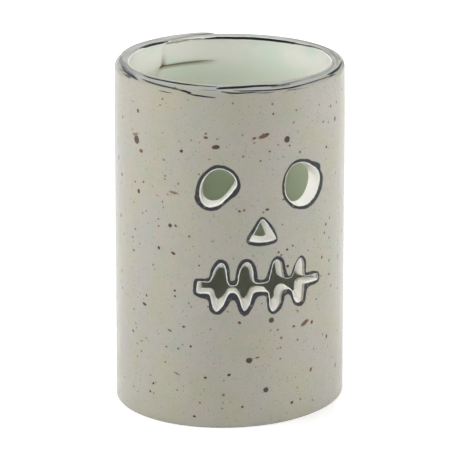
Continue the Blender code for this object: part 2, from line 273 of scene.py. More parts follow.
# Ink brushed round the rim: how dark the stroke is, then (angle, along, half width) where the brush went
STROKES = [
    # Along the inner edge, from the left to the front
    (0.5, [(-103, 0.9, 0.15), (-95, 0.8, 0.3), (-87, 1, 0.35), (-79, 0.8, 0.4), (-70, 0.5, 0.4)]),
    (1, [(-73, 0.5, 0.25), (-64, 0.35, 0.42), (-55, 0.35, 0.46), (-45, 0.25, 0.46), (-34, 0.2, 0.38)]),
    (0.9, [(-36, 0.2, 0.35), (-29, 0.15, 0.3), (-23, 0, 0.2)]),
    # The blunt stroke in the middle of the front
    (1, [(-23.5, -1, 0.2), (-21.5, -0.6, 0.62), (-15, -0.25, 0.68), (-9, -0.1, 0.66), (-3, 0.15, 0.66)]),
    (1, [(-3, 0.15, 0.66), (2, 0, 0.6), (7, -0.4, 0.48), (12, -0.7, 0.25), (16, -0.7, 0.1)]),
    (0.65, [
        (8, -0.5, 0.2), (14, -0.3, 0.24), (22, 0, 0.26), (33, 0.1, 0.26), (43, 0.2, 0.2), (51, 0.3, 0.15),
    ]),
    # Thinner ones below it
    (0.75, [(-32, -2.1, 0.18), (-28, -2, 0.25), (-23, -1.8, 0.2)]),
    (1, [
        (-21, -2.5, 0.22), (-18, -2.9, 0.32), (-14, -3.2, 0.3),
        (-8, -3.1, 0.2), (-2, -3.4, 0.22), (6, -3.7, 0.16),
    ]),
    (1, [
        (-15, -1.9, 0.2), (-11, -2.2, 0.32), (-3, -2.4, 0.32),
        (5, -2.7, 0.32), (14, -2.7, 0.32), (24, -2.3, 0.32),
    ]),
    (0.95, [(24, -2.3, 0.32), (31, -2.2, 0.3), (38, -2.3, 0.27), (45, -2.8, 0.24), (51, -3.3, 0.12)]),
    (0.8, [(12, -3.6, 0.1), (17, -3.7, 0.2), (23, -3.8, 0.15), (27, -3.7, 0.08)]),
    (0.5, [(5, -1.1, 0.3), (10, -1, 0.5), (15, -0.9, 0.3)]),
    # Left of the front, down over the outer edge
    (0.88, [(-67, -1.7, 0.3), (-62, -1.9, 0.5), (-55, -2.2, 0.52), (-48, -2.5, 0.42), (-41, -2.95, 0.3)]),
    (1, [(-42, -3, 0.25), (-39.5, -3.15, 0.44), (-36, -3.6, 0.25)]),
    (1, [(-38, -3.9, 0.2), (-34, -4.35, 0.33), (-29, -4.65, 0.34), (-25, -4.9, 0.25), (-23, -5.1, 0.1)]),
    (0.9, [(-54, -4.4, 0.12), (-50, -4.5, 0.24), (-46, -4.6, 0.14)]),
    # The smear on the left
    (0.85, [(-93, -2.7, 0.12), (-84, -3, 0.2), (-76, -3.2, 0.2)]),
    (0.8, [(-99, -0.3, 0.15), (-92, -0.6, 0.3), (-84, -1, 0.35), (-76, -1.5, 0.28), (-71, -1.9, 0.12)]),
    (0.92, [(-97, -0.9, 0.15), (-89, -1.5, 0.36), (-80, -2, 0.42), (-73, -2.4, 0.4), (-69, -2.8, 0.2)]),
    (0.7, [(-92, -2, 0.1), (-84, -2.5, 0.2), (-77, -2.7, 0.2)]),
    (0.5, [(-108, -0.8, 0.6), (-100, -0.5, 0.7), (-93, -0.5, 0.5)]),
    (0.45, [(-101, 0.5, 0.15), (-92, 0.3, 0.28), (-83, -0.1, 0.28), (-75, -0.6, 0.2)]),
    (0.6, [(-129, -0.5, 0.12), (-116, -0.8, 0.26), (-105, -1.3, 0.24), (-97, -1.9, 0.1)]),
    (0.5, [(-124, 0.2, 0.1), (-111, 0.1, 0.22), (-101, 0, 0.15)]),
    (0.55, [(-118, 0.5, 0.2), (-126, 1, 0.28), (-135, 1.1, 0.28)]),
    (0.5, [
        (-112, -1.8, 0.25), (-125, -2, 0.32), (-137, -1.7, 0.36), (-150, -0.9, 0.32), (-160, -0.4, 0.25),
    ]),
    # The back
    (1, [(-134, 1.4, 0.3), (-139, 1.5, 0.65), (-147, 1.6, 0.75), (-152, 1.75, 0.62), (-158, 1.8, 0.35)]),
    (0.65, [(-157, 2.7, 0.28), (-165, 2.9, 0.32), (-172, 2.8, 0.2)]),
    (0.6, [(-160, 2.1, 0.25), (-170, 2.3, 0.3), (-181, 2.8, 0.25)]),
    (0.65, [(185, -0.3, 0.28), (177, -0.4, 0.28), (171, -0.8, 0.3)]),
    (1, [
        (178, 2.7, 0.28), (172, 2.6, 0.5), (160, 2.6, 0.56),
        (146, 2.6, 0.56), (133, 2.6, 0.56), (124, 2.5, 0.5),
    ]),
    (0.95, [(126, 2.5, 0.5), (119, 2.4, 0.38), (112, 2.2, 0.3), (104, 1.8, 0.3), (98, 1.6, 0.3)]),
    (0.75, [(99, 1.6, 0.28), (90, 1.7, 0.25), (80, 1.6, 0.15)]),
    # The right
    (0.55, [(130, -0.5, 0.4), (118, -0.8, 0.55), (105, -0.9, 0.55), (90, -0.9, 0.35)]),
    (1, [
        (43, -1.6, 0.2), (46, -1.8, 0.56), (52, -1.95, 0.5),
        (58, -1.9, 0.42), (66, -1.9, 0.3), (75, -2.2, 0.18),
    ]),
    (0.5, [(92, 0, 0.4), (82, -0.6, 0.45), (73, -1.2, 0.3)]),
    (0.6, [(100, 0.5, 0.12), (88, 0.3, 0.25), (75, -0.2, 0.22), (63, -0.6, 0.12)]),
    (0.6, [(97, -1.6, 0.12), (86, -1.9, 0.24), (76, -2.3, 0.15)]),
    (0.7, [(74, 0.9, 0.12), (64, 0.7, 0.24), (55, 0.5, 0.2), (48, 0.3, 0.1)]),
    (0.55, [(72, -2.8, 0.1), (62, -2.8, 0.2), (53, -2.9, 0.12)]),
]

# Camera, from the outline in the photograph: round the sleeve's own axis, in millimetres and degrees
CAMERA_ANGLE = -16.7
CAMERA_AWAY = 1147.5
CAMERA_UP = 418.93
CAMERA_DOWN = 17.26
CAMERA_LENS = 252.86
CAMERA_SHIFT = (0.0004, 0.0011)

# Soft lights: turned from the camera and lifted, in degrees, how far, wide and high in metres, and watts
SOFT_LIGHTS = [
    ("soft_left", -94, 20, 0.9, 0.5, 0.9, 3.2),
    ("soft_high_left", -80, 50, 0.9, 0.5, 0.5, 3.5),
    ("soft_right", 94, 20, 0.9, 0.5, 0.9, 6.0),
    ("soft_front", 0, 30, 1.1, 0.8, 0.4, 5.0),
    ("soft_back", 180, 40, 0.9, 0.8, 0.4, 5.2),
]

# Floor: half its width in metres, and how much it glows for the camera and in gloss
FLOOR_HALF = 3.0
CAMERA_GLOW = 0.24
GLOSS_GLOW = 0.2
WHITE = (1.0, 1.0, 1.0, 1.0)

# Distances to the drawn shapes where the glaze needs none, in millimetres outside them
NO_INK = -3.0
NO_SPECK = -0.4
NO_STROKE = -0.6
INK_SPAN = 31.0
INK_LOW, INK_HIGH = 38.0, 104.0
SKIN_SPAN = 2 * HEIGHT + 20

# Fineness
COLUMN_STEP = 1.25
COLUMN_GAP = 0.375
GROOVE_COLUMNS = (-2.8, 12.0, 0.4)
NOSE_STEPS = 10
ROW_STEP = 2.0
OUTLINE_STEP = 0.5
SPLINE_STEPS = 12
RING_OFFSETS = (0.35, 0.75, 1.2, 1.8, 2.6)
RING_GAP = 0.33
RING_GAP_GROWTH = 0.2
RING_CLEARANCE = 0.85
HOLE_MARGIN = 6.0
GRID_GAP = 0.85
CORNER_STEPS = 6
WALL_ROWS = 7
SPECK_GAP = 0.1
SPECK_GAP_GROWTH = 0.16
SMALL_SPECK = 1.3
SMALL_SPECK_RINGS = ((1.0, 7), (1.8, 8))
SPECK_RINGS = ((0.55, 7), (1.0, 11), (1.6, 11))


def unit(value):
    """The value, kept from 0 to 1."""
    return np.clip(value, 0, 1)


def bell(value, reach):
    """1 where the value is 0, and falling off on both sides of it."""
    return np.exp(-((value / reach) ** 2))


def lap_rise(angle):
    """How far the slab's outer end stands proud of the round outside."""
    turned = np.mod(angle - LAP_EDGE, 360)
    nose = np.sqrt(np.clip(1 - (1 - turned / LAP_NOSE_SPAN) ** 2, 0, None))
    fade = unit(1 - (turned - LAP_NOSE_SPAN) / LAP_FADE_SPAN) ** LAP_FADE_POWER
    return LAP_RISE * np.where(turned < LAP_NOSE_SPAN, nose, fade)


def past_inner_end(angle, below):
    """Angle past the slab's inner end, whose edge leans back above and below the middle of its roll."""
    on_roll = bell(below - ROLL_MIDDLE, ROLL_REACH)
    return np.mod(angle - INNER_END + 180, 360) - 180 - ROLL_SLANT * (1 - on_roll), on_roll


def bore_recess(angle, up):
    """How far the inside lies back from the round bore."""
    below = HEIGHT - up
    past_end, on_roll = past_inner_end(angle, below)
    groove = GROOVE_DEPTH * unit((below - GROOVE_BEGINS) / (GROOVE_FULL - GROOVE_BEGINS))
    valley = groove * unit(1 + past_end / GROOVE_HALF_SPAN) ** 2
    overlap = past_end + INNER_END - LAP_EDGE
    below_collar = unit((below - COLLAR_HEIGHT) / COLLAR_SLOPE)
    pressed = PRESSED_DEPTH * below_collar * unit(overlap / PRESSED_FADE_SPAN)
    fade = (1 + np.cos(np.pi * unit(past_end / HOLLOW_SPAN))) / 2
    hollow = HOLLOW_DEPTH * unit((below - HOLLOW_BEGINS) / (HOLLOW_FULL - HOLLOW_BEGINS))
    rolled = (hollow - ROLL_BULGE * on_roll * unit(below / GROOVE_BEGINS)) * fade
    rise = np.sqrt(1 - (1 - unit(past_end / ROLL_ROUND)) ** 2)
    floor = groove + PRESSED_DEPTH * below_collar
    return np.where(past_end >= 0, floor + (rolled - floor) * rise, np.maximum(pressed, 0) + valley)


def outer_face(angle, up):
    """Out of the outer face: the lap, and the little that the sleeve leans in towards its rim."""
    lean = unit(1 - (HEIGHT - up) / LEAN_REACH) ** 2
    return lap_rise(angle) - TOP_LEAN * lean


def inner_face(angle, up):
    """Out of the inner face, which thickens a little towards the rim."""
    lip = unit(1 - (HEIGHT - up) / LIP_REACH) ** 2
    return bore_recess(angle, up) - WALL - RIM_LIP * lip


def smooth_outline(corners, raised=0.0, step=OUTLINE_STEP):
    """A closed smooth curve through the corners, in even steps, with what each says beside its place."""
    corners = np.array(corners, float)
    corners[:, 1] += raised
    before, after, later = (np.roll(corners, shift, axis=0) for shift in (1, -1, -2))
    curve = []
    for t in np.arange(SPLINE_STEPS) / SPLINE_STEPS:
        bend = 2 * before - 5 * corners + 4 * after - later
        twist = 3 * corners - before - 3 * after + later
        curve.append((2 * corners + (after - before) * t + bend * t**2 + twist * t**3) / 2)
    curve = np.stack(curve, axis=1).reshape(-1, corners.shape[1])
    closed = np.vstack([curve, curve[:1]])
    lengths = np.linalg.norm(np.diff(closed[:, :2], axis=0), axis=1)
    travelled = np.concatenate([[0], np.cumsum(lengths)])
    wanted = np.linspace(0, travelled[-1], round(travelled[-1] / step), endpoint=False)
    return np.stack([np.interp(wanted, travelled, column) for column in closed.T], axis=1)


def inset(outline, distance):
    """The clockwise outline moved inwards, or outwards where distance is less than 0."""
    arriving = outline - np.roll(outline, 1, axis=0)
    leaving = np.roll(outline, -1, axis=0) - outline
    along = arriving + leaving
    along /= np.linalg.norm(along, axis=1, keepdims=True)
    cross = arriving[:, 0] * leaving[:, 1] - arriving[:, 1] * leaving[:, 0]
    turn = -np.arctan2(cross, (arriving * leaving).sum(axis=1)) * math.copysign(1, distance)
    spacing = (np.linalg.norm(arriving, axis=1) + np.linalg.norm(leaving, axis=1)) / 2
    reach = np.minimum(abs(distance), CORNER_SHARE * spacing / np.maximum(turn, 1e-6))
    inwards = np.stack([along[:, 1], -along[:, 0]], axis=1)
    return outline + inwards * (math.copysign(1, distance) * reach)[:, None]


def inside_outline(points, outline):
    """Which points lie inside the closed outline."""
    found = np.zeros(len(points), bool)
    for start, end in zip(outline, np.roll(outline, -1, axis=0)):
        spans = (start[1] > points[:, 1]) != (end[1] > points[:, 1])
        share = (points[:, 1] - start[1]) / (end[1] - start[1] if end[1] != start[1] else 1)
        found ^= spans & (points[:, 0] < start[0] + share * (end[0] - start[0]))
    return found


def nearest_on(points, start, end):
    """Distance of each point to one straight piece, and how far along it the nearest place is."""
    run = end - start
    share = unit(((points - start) @ run) / max(run @ run, 1e-12))
    return np.linalg.norm(points - start - share[:, None] * run, axis=1), share


def depth_in_outline(points, outline):
    """Signed distance to a closed outline, above 0 inside it."""
    nearest = np.full(len(points), 1e9)
    for start, end in zip(outline, np.roll(outline, -1, axis=0)):
        nearest = np.minimum(nearest, nearest_on(points, start, end)[0])
    return np.where(inside_outline(points, outline), nearest, -nearest)


class Spacing:
    """Keeps the points that are laid on a sheet some distance apart."""

    def __init__(self):
        self.cells = {}

    def keep(self, points, gap=0.0):
        """Lays those points that have no neighbour within the gap, and returns them."""
        kept = []
        for point in points:
            column, row = math.floor(point[0]), math.floor(point[1])
            near = (
                other
                for i in (-1, 0, 1)
                for j in (-1, 0, 1)
                for other in self.cells.get((column + i, row + j), ())
            )
            if all((point[0] - other[0]) ** 2 + (point[1] - other[1]) ** 2 > gap * gap for other in near):
                self.cells.setdefault((column, row), []).append(point)
                kept.append(point)
        return kept


class Slab:
    """The flat slab while it is drawn: places, what the glaze has to know at each, and faces."""

    def __init__(self):
        self.places, self.skin, self.faces = [], [], []
        self.count = 0

    def lay(self, across, out, up, along=0.0, liner=0.0, cut=0.0, bare=0.0):
        """Adds places, and returns their numbers in the shape of the places."""
        rows = np.broadcast_arrays(across, out, up, along, liner, cut, bare)
        self.places.append(np.stack([row.ravel() for row in rows[:3]], axis=1).astype(float))
        self.skin.append(np.stack([row.ravel() for row in rows[3:]], axis=1).astype(float))
        numbers = self.count + np.arange(rows[0].size).reshape(rows[0].shape)
        self.count += numbers.size
        return numbers

    def join(self, numbers):
        """Quads between the rows of a grid of places."""
        quads = np.stack([numbers[:-1, :-1], numbers[:-1, 1:], numbers[1:, 1:], numbers[1:, :-1]], axis=-1)
        self.faces += quads.reshape(-1, 4).tolist()


def columns():
    """The angles of the slab's columns, closer on the lap's nose and in the groove."""
    nose = LAP_NOSE_SPAN * (1 - np.cos(np.linspace(0, np.pi / 2, NOSE_STEPS + 1)))
    groove = INNER_END - LAP_EDGE + np.arange(*GROOVE_COLUMNS)
    even = np.arange(LAP_NOSE_SPAN, 360, COLUMN_STEP)
    even = even[np.abs(even[:, None] - groove[None]).min(axis=1) > COLUMN_GAP]
    turned = np.unique(np.concatenate([nose, groove, even, [360.0]]).round(6))
    return turned + LAP_EDGE - 360


def to_across(angle):
    return np.radians(angle) * OUTER_RADIUS


def to_angle(across):
    return np.degrees(np.asarray(across) / OUTER_RADIUS)


def on_front(angle):
    """1 on the front of the rim and 0 on its back."""
    return unit((np.cos(np.radians(angle - FRONT_MIDDLE)) - FRONT_BEGINS) / FRONT_FADE)


def quarter(start):
    turns = np.radians(start + np.linspace(0, 90, CORNER_STEPS + 1))
    return np.cos(turns), np.sin(turns)


def rim_rows(angle):
    """Out, up, along and liner of the slab's skin over the rim, from the outer band to the inner one."""
    rows = []
    crest = HEIGHT + FRONT_CREST * on_front(angle)
    drop = (RIM_DROP + FRONT_CREST) * on_front(angle)
    outer_top = crest - drop - RIM_ROUND
    arc, crest_arc = RIM_ROUND * math.pi / 2, CREST_ROUND * math.pi / 2
    flat = (WALL + RIM_LIP - TOP_LEAN - RIM_ROUND - CREST_ROUND) / 2
    for share in np.linspace(0, 1, round((BAND - RIM_ROUND) / BAND_STEP) + 1)[:-1]:
        up = HEIGHT - BAND + (outer_top - HEIGHT + BAND) * share
        rows.append((outer_face(angle, up), up, -flat - arc - (1 - share) * (BAND - RIM_ROUND), 0.0))
    for cosine, sine, share in zip(*quarter(0), np.linspace(1, 0, CORNER_STEPS + 1)):
        out = outer_face(angle, HEIGHT) - RIM_ROUND * (1 - cosine)
        rows.append((out, outer_top + RIM_ROUND * sine, -flat - arc * share, 0.0))
    start = outer_face(angle, HEIGHT) - RIM_ROUND
    end = inner_face(angle, HEIGHT) + CREST_ROUND
    for share in np.linspace(0, 1, TOP_ROWS)[1:-1]:
        up = crest - drop * (1 - share) ** DROP_POWER
        rows.append((start + (end - start) * share, up, flat * (2 * share - 1), 0.0))
    for cosine, sine, share in zip(*quarter(90), np.linspace(0, 1, CORNER_STEPS + 1)):
        out = inner_face(angle, HEIGHT) + CREST_ROUND * (1 + cosine)
        rows.append((out, crest - CREST_ROUND * (1 - sine), flat + crest_arc * share, share))
    for share in np.linspace(0, 1, round(INNER_BAND / BAND_STEP) + 1)[1:]:
        up = crest - CREST_ROUND + (HEIGHT - INNER_BAND - crest + CREST_ROUND) * share
        rows.append((inner_face(angle, up), up, flat + crest_arc + share * (INNER_BAND - CREST_ROUND), 1.0))
    return [np.array(column) for column in zip(*rows)]


def seam_groove(angle, outs, ups):
    """Lowers the rim along the line where the slab's two ends meet, from the lap's edge to its inner end."""
    share = (angle - (LAP_EDGE - 360)) / (INNER_END - LAP_EDGE)
    in_lap = (share >= 0) & (share <= 1)
    meeting = outer_face(np.array(LAP_EDGE), HEIGHT) - RIM_ROUND / 2 - share * (WALL - RIM_ROUND)
    ends = np.sin(np.pi * unit(share)) ** SEAM_POWER
    on_top = ups > HEIGHT - RIM_ROUND
    near = bell(outs - meeting, SEAM_WIDTH) * in_lap * ends * on_top
    return ups - SEAM_DEPTH * near, near


def crowded(places):
    """Which of the places between the first and the last stand closer to a neighbour than the grid's gap."""
    gaps = np.diff(places)
    return (gaps[:-1] < GRID_GAP) | (gaps[1:] < GRID_GAP)


def sheet(slab, rows, face, hole_lines, specks, flipped, band_along, liner, cut):
    """One face of the slab from its foot to its rim band, triangulated round the holes and the specks."""
    across = to_across(columns())
    laid = Spacing()
    border = [(x, rows[0]) for x in across] + [(across[-1], y) for y in rows[1:-1]]
    border += [(x, rows[-1]) for x in across[::-1]] + [(across[0], y) for y in rows[-2:0:-1]]
    loops = [border] + [list(map(tuple, line)) for line in hole_lines]
    inner = []
    for loop in loops:
        laid.keep(loop)
    for offset in RING_OFFSETS:
        for line in hole_lines:
            ring = inset(line, -offset)
            clear = np.full(len(ring), True)
            for other in hole_lines:
                clear &= depth_in_outline(ring, other) < -RING_CLEARANCE * offset
            inner += laid.keep(list(map(tuple, ring[clear])), RING_GAP + RING_GAP_GROWTH * offset)
    for speck in specks:
        inner += laid.keep(speck_points(speck), SPECK_GAP + SPECK_GAP_GROWTH * speck[3])
    grid = np.array([(x, y) for x in across[1:-1] for y in rows[1:-1]])
    outside = np.full(len(grid), True)
    for line in hole_lines:
        reach = np.ptp(line, axis=0) / 2 + HOLE_MARGIN
        close = (np.abs(grid - line.mean(axis=0)) < reach).all(axis=1)
        outside[close] &= depth_in_outline(grid[close], line) < -GRID_GAP
    is_dense = (crowded(across)[:, None] | crowded(rows)[None]).ravel()
    inner += laid.keep(list(map(tuple, grid[outside & is_dense])))
    inner += laid.keep(list(map(tuple, grid[outside & ~is_dense])), GRID_GAP)
    points, edges, loop_faces = [], [], []
    for i, loop in enumerate(loops):
        ids = [len(points) + k for k in range(len(loop))]
        points += loop
        edges += list(zip(ids, ids[1:] + ids[:1]))
        loop_faces.append(ids if i == 0 else ids[::-1])
    points += inner
    _, _, triangles, origins, *_ = delaunay_2d_cdt([Vector(p) for p in points], edges, loop_faces, 2, 1e-5)
    corners = np.array([points[found[0]] for found in origins])
    up = corners[:, 1]
    # Along is less than 0 outside and more inside, so it falls or rises from the band down to the foot
    along = band_along + (rows[-1] - up) * (1 if flipped else -1)
    numbers = slab.lay(corners[:, 0], face(to_angle(corners[:, 0]), up), up, along, liner, cut)
    turned = [triangle[::-1] for triangle in triangles] if flipped else triangles
    slab.faces += [[int(numbers[corner]) for corner in triangle] for triangle in turned]


def speck_points(speck):
    """Points on and round one speck, so that the sheet can hold its shape."""
    across, up, length, width, lean, _ = speck
    sine, cosine = math.sin(math.radians(lean)), math.cos(math.radians(lean))
    found = [(across, up)]
    for scale, count in SMALL_SPECK_RINGS if length < SMALL_SPECK else SPECK_RINGS:
        for k in range(count):
            turn = 2 * math.pi * (k + scale) / count
            x, y = scale * length / 2 * math.cos(turn), scale * width / 2 * math.sin(turn)
            found.append((across + x * cosine - y * sine, up + x * sine + y * cosine))
    return found


def all_specks():
    """The front's specks as they were seen, and more scattered over the back."""
    specks = [(*(*speck, 0)[:5], tone) for tone, group in SPECKS.items() for speck in group]
    wanted = len(specks) + BACK_SPECKS
    scatter = random.Random(SPECK_SEED)
    while len(specks) < wanted:
        across = scatter.uniform(FRONT_SPAN[1], FRONT_SPAN[0] + ROUND)
        angle = to_angle(across)
        across = across - ROUND if angle > LAP_EDGE - 2 else across
        if LAP_CLEARANCE[0] < angle - LAP_EDGE < LAP_CLEARANCE[1]:
            continue
        length = 0.6 + 2.2 * scatter.random() ** 3
        width = length * scatter.uniform(0.55, 1.0)
        tone = scatter.choices((0, 1, 2, 3), BACK_TONES)[0]
        up = scatter.uniform(4, HEIGHT - BAND - 3)
        specks.append((across, up, length, width, scatter.uniform(0, 180), tone))
    return specks


def cut_walls(slab):
    """The wall of each cut-out: a softened lip outside, the cut clay, and a small lip at the bore."""
    outer_lines, inner_lines = [], []
    for corners in CUT_OUTS:
        edge = smooth_outline([(*corner, 0.0, 0.0)[:4] for corner in corners], FACE_HEIGHT)
        edge, leant = edge[:, :2], edge[:, 2:]
        through = inset(edge, LIP_ROUND + CUT_TAPER) + leant
        inner_edge = inset(edge, LIP_ROUND + CUT_TAPER - INNER_LIP) + leant
        lip = inset(edge, LIP_ROUND)
        inward = (lip - edge) / LIP_ROUND
        bare = unit(-inward[:, 0]) * unit((edge[:, 0] - BARE_FROM) / BARE_FADE) * (edge[:, 1] < BARE_BELOW)
        bare = np.append(bare, bare[0])
        rows = []
        for turn in np.radians(np.linspace(90, 0, CORNER_STEPS + 1)):
            line = edge + (lip - edge) * math.cos(turn)
            rows.append((line, LIP_ROUND * (1 - math.sin(turn)), LIP_ROUND * (math.pi / 2 - turn)))
        for share in np.linspace(0, 1, WALL_ROWS + 1)[1:]:
            line = lip + (through - lip) * share
            depth = LIP_ROUND + (WALL - LIP_ROUND - INNER_LIP) * share
            rows.append((line, depth, depth + LIP_ROUND * (math.pi / 2 - 1)))
        for turn in np.radians(np.linspace(0, 90, 4))[1:]:
            line = through + (inner_edge - through) * (1 - math.cos(turn))
            rows.append((line, WALL - INNER_LIP * (1 - math.sin(turn)), WALL))
        numbers = []
        for line, depth, cut in rows:
            closed = np.vstack([line, line[:1]])
            out = outer_face(to_angle(closed[:, 0]), closed[:, 1]) - depth
            numbers.append(slab.lay(closed[:, 0], out, closed[:, 1], closed[:, 1] - HEIGHT, 0.0, cut, bare))
        slab.join(np.array(numbers)[:, ::-1])
        outer_lines.append(edge)
        inner_lines.append(inner_edge)
    return outer_lines, inner_lines


def drawn_slab():
    """The whole flat slab, with what the glaze needs at each place."""
    slab = Slab()
    angle = columns()
    across = to_across(angle)
    outer_lines, inner_lines = cut_walls(slab)
    outs, ups, alongs, liners = rim_rows(angle)
    ups, seam = seam_groove(angle, outs, ups)
    rim = slab.lay(across, outs, ups, alongs[:, None], liners[:, None])
    slab.join(rim)
    band_bottom, inner_top = HEIGHT - BAND, HEIGHT - INNER_BAND
    outer_rows = np.linspace(FOOT_ROUND, band_bottom, round(band_bottom / ROW_STEP))
    collar = HEIGHT - COLLAR_HEIGHT
    ledge = collar - COLLAR_SLOPE
    inner_rows = np.concatenate([
        np.linspace(FOOT_ROUND, ledge - 1.6, round(collar / ROW_STEP)),
        ledge - np.array(LEDGE_STEPS[::-1]),
        np.linspace(ledge, collar, 4),
        collar + np.array(LEDGE_STEPS),
        np.linspace(collar + 1.4, inner_top, 4),
    ])
    specks = all_specks()
    sheet(slab, outer_rows, outer_face, outer_lines, specks, False, alongs[0], 0.0, 0.0)
    sheet(slab, inner_rows, inner_face, inner_lines, [], True, alongs[-1], 1.0, WALL)
    foot = []
    for start, face, side in ((180, inner_face, 1.0), (270, outer_face, -1.0)):
        for cosine, sine in zip(*quarter(start)):
            foot.append((face(angle, 0.0) + FOOT_ROUND * (cosine + side), FOOT_ROUND * (1 + sine), side > 0))
    outs, ups, liners = (np.array(column) for column in zip(*foot))
    slab.join(slab.lay(across, outs, ups[:, None], -HEIGHT - 4.0, liners[:, None]))
    return slab, specks, rim, seam


def ink_depth(places):
    """How far each place on the face lies inside the inked outlines, in millimetres."""
    depth = np.full(len(places), NO_INK)
    near = (np.abs(places[:, 0]) < INK_SPAN) & (places[:, 2] > INK_LOW) & (places[:, 2] < INK_HIGH)
    flat = places[near][:, [0, 2]]
    found = depth[near]
    for corners in INK_LINES:
        found = np.maximum(found, depth_in_outline(flat, smooth_outline(corners)))
    depth[near] = found
    return depth


def speck_depth(places, specks):
    """How far each place lies inside a speck, in millimetres, and that speck's tone."""
    depth = np.full(len(places), NO_SPECK)
    tone = np.zeros(len(places))
    for across, up, length, width, lean, kind in specks:
        away = np.abs(places[:, [0, 2]] - (across, up)).max(axis=1)
        near = np.nonzero(away < 2 * length)[0]
        x, y = places[near, 0] - across, places[near, 2] - up
        turned = math.radians(lean)
        long_way = (x * math.cos(turned) + y * math.sin(turned)) / (length / 2)
        short_way = (y * math.cos(turned) - x * math.sin(turned)) / (width / 2)
        found = (1 - np.hypot(long_way, short_way)) * width / 2
        better = near[found > depth[near]]
        depth[better] = found[found > depth[near]]
        tone[better] = kind
    return depth, tone


def stroke_depth(across, along):
    """How far each place on the rim lies inside a brush stroke, in millimetres, and how dark that is."""
    depth = np.full(len(across), NO_STROKE)
    dark = np.zeros(len(across))
    for darkness, marks in STROKES:
        for (angle_a, along_a, half_a), (angle_b, along_b, half_b) in zip(marks, marks[1:]):
            start = np.array([to_across(angle_a), along_a])
            end = np.array([to_across(angle_b), along_b])
            middle = (start[0] + end[0]) / 2
            shifted = np.mod(across - middle + ROUND / 2, ROUND) - ROUND / 2 + middle
            distance, share = nearest_on(np.stack([shifted, along], axis=1), start, end)
            found = half_a + (half_b - half_a) * share - distance
            better = found > depth
            depth[better] = found[better]
            dark[better] = darkness
    return depth, dark


def crevice_shade(places, skin):
    """Painted shade inside the lap, with some dark glaze pooled there: in the groove, and under the collar.
    """
    below = HEIGHT - places[:, 2]
    past_end, _ = past_inner_end(to_angle(places[:, 0]), below)
    shade_band = GROOVE_SHADE * bell(below - COLLAR_HEIGHT + GROOVE_SHADE_RAISED, GROOVE_SHADE_HEIGHT)
    groove = bell(past_end + GROOVE_SHADE_BACK, GROOVE_SHADE_SPAN) * shade_band
    in_collar = unit((past_end + LEDGE_SHADE_REACH) / LEDGE_SHADE_FADE) * (past_end < 0.5)
    ledge = bell(below - COLLAR_HEIGHT - LEDGE_SHADE_LOWERED, LEDGE_SHADE_HEIGHT) * in_collar
    return unit(groove + LEDGE_SHADE * ledge) * (skin[:, 1] > 0.5)


def slab_mesh():
    """The flat slab as a mesh, across, out and up in metres, with its attributes."""
    slab, specks, rim, seam = drawn_slab()
    places, skin = np.vstack(slab.places), np.vstack(slab.skin)
    mesh = bpy.data.meshes.new("flat_slab")
    mesh.from_pydata((places * MM).tolist(), [], slab.faces)
    on_rim = rim.ravel()
    stroke, dark, seam_shade = np.full(len(places), NO_STROKE), np.zeros(len(places)), np.zeros(len(places))
    stroke[on_rim], dark[on_rim] = stroke_depth(places[on_rim, 0], skin[on_rim, 0])
    seam_shade[on_rim] = seam.ravel()
    speck, tone = speck_depth(places, specks)
    outside = (skin[:, 1] < 0.5) & (skin[:, 2] == 0)
    values = {
        "ink": ink_depth(places),
        "speck": np.where(outside, speck, NO_SPECK),
        "speck_tone": tone,
        "stroke": stroke,
        "stroke_dark": dark,
        "seam": seam_shade,
        "crevice": crevice_shade(places, skin),
        "liner": skin[:, 1],
        "cut_along": skin[:, 2],
        "along": skin[:, 0],
        "bare": skin[:, 3],
    }
    for name, value in values.items():
        attribute = mesh.attributes.new(name, "FLOAT", "POINT")
        attribute.data.foreach_set("value", np.ascontiguousarray(value, np.float32))
    corners = np.empty(len(mesh.loops), np.int32)
    mesh.loops.foreach_get("vertex_index", corners)
    layer = mesh.uv_layers.new(name="slab")
    flat = np.stack([places[corners, 0] / ROUND + 0.6, skin[corners, 0] / SKIN_SPAN + 0.5], axis=1)
    layer.data.foreach_set("uv", flat.astype(np.float32).ravel())
    return mesh


def add_node(tree, kind, inputs=None, **settings):
    """Adds one node with its settings. inputs maps each input to a value or to the socket that feeds it."""
    node = tree.nodes.new(kind)
    for name, value in settings.items():
        setattr(node, name, value)
    for name, value in (inputs or {}).items():
        socket = node.inputs[name]
        if isinstance(value, bpy.types.NodeSocket):
            tree.links.new(value, socket)
        else:
            socket.default_value = value
    return node


def maths(tree):
    """Functions that add maths nodes to the tree, over two or more values in turn."""

    def calculate(operation, first, *others):
        for other in others or (0.0,):
            first = add_node(tree, "ShaderNodeMath", {0: first, 1: other}, operation=operation).outputs[0]
        return first

    return calculate, *(partial(calculate, operation) for operation in ("MULTIPLY", "ADD", "SUBTRACT"))


def empty_tree(owner):
    """The owner's node tree, with nothing in it."""
    owner.use_nodes = True
    owner.node_tree.nodes.clear()
    return owner.node_tree


def placed(name, data):
    """A new object in the scene."""
    thing = bpy.data.objects.new(name, data)
    bpy.context.scene.collection.objects.link(thing)
    return thing


